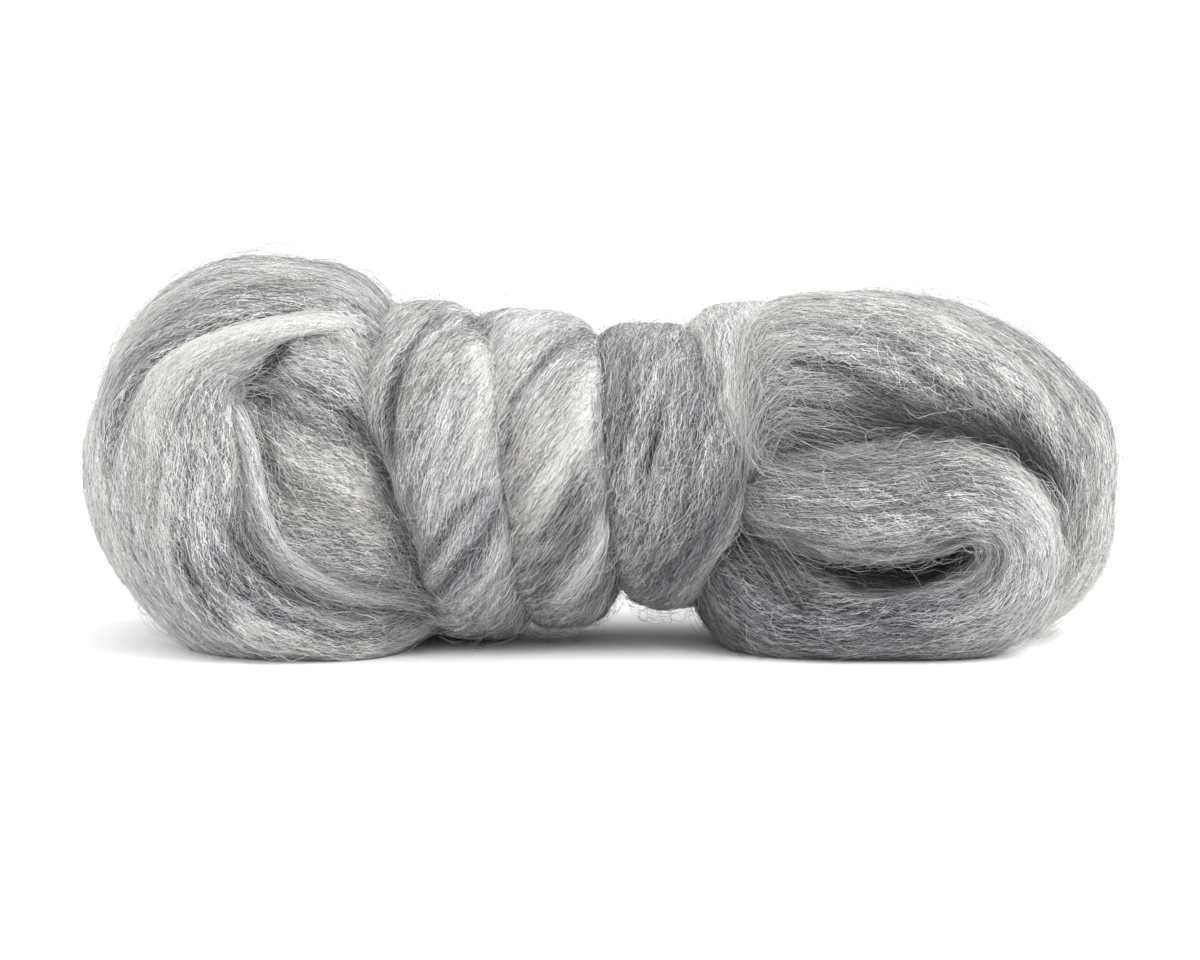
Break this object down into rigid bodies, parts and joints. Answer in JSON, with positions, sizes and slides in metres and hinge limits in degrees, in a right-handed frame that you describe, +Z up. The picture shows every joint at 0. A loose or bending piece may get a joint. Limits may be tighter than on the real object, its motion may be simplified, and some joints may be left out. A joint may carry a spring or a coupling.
{
  "type": "wool roving hank",
  "caption": "Hank of combed grey wool roving, folded into a bundle and bound at the waist by its own wound tail, with a fat fold bulging at each end.",
  "frame": {"origin": "middle of the hank's footprint on the surface that it lies on", "axes": "+X along the hank, from the big round fold to the long arched fold; -Y the side with the rolled fold and the tucked tail end, which the picture shows; +Z up"},
  "size_m": [0.2763, 0.0949, 0.1036],
  "materials": {
    "wool": "matt combed wool, light and dark grey fibres mixed, with loose fibre ends all over"
  },
  "bodies": {
    "root": {"roving_hank": "wool"}
  },
  "joints": []
}
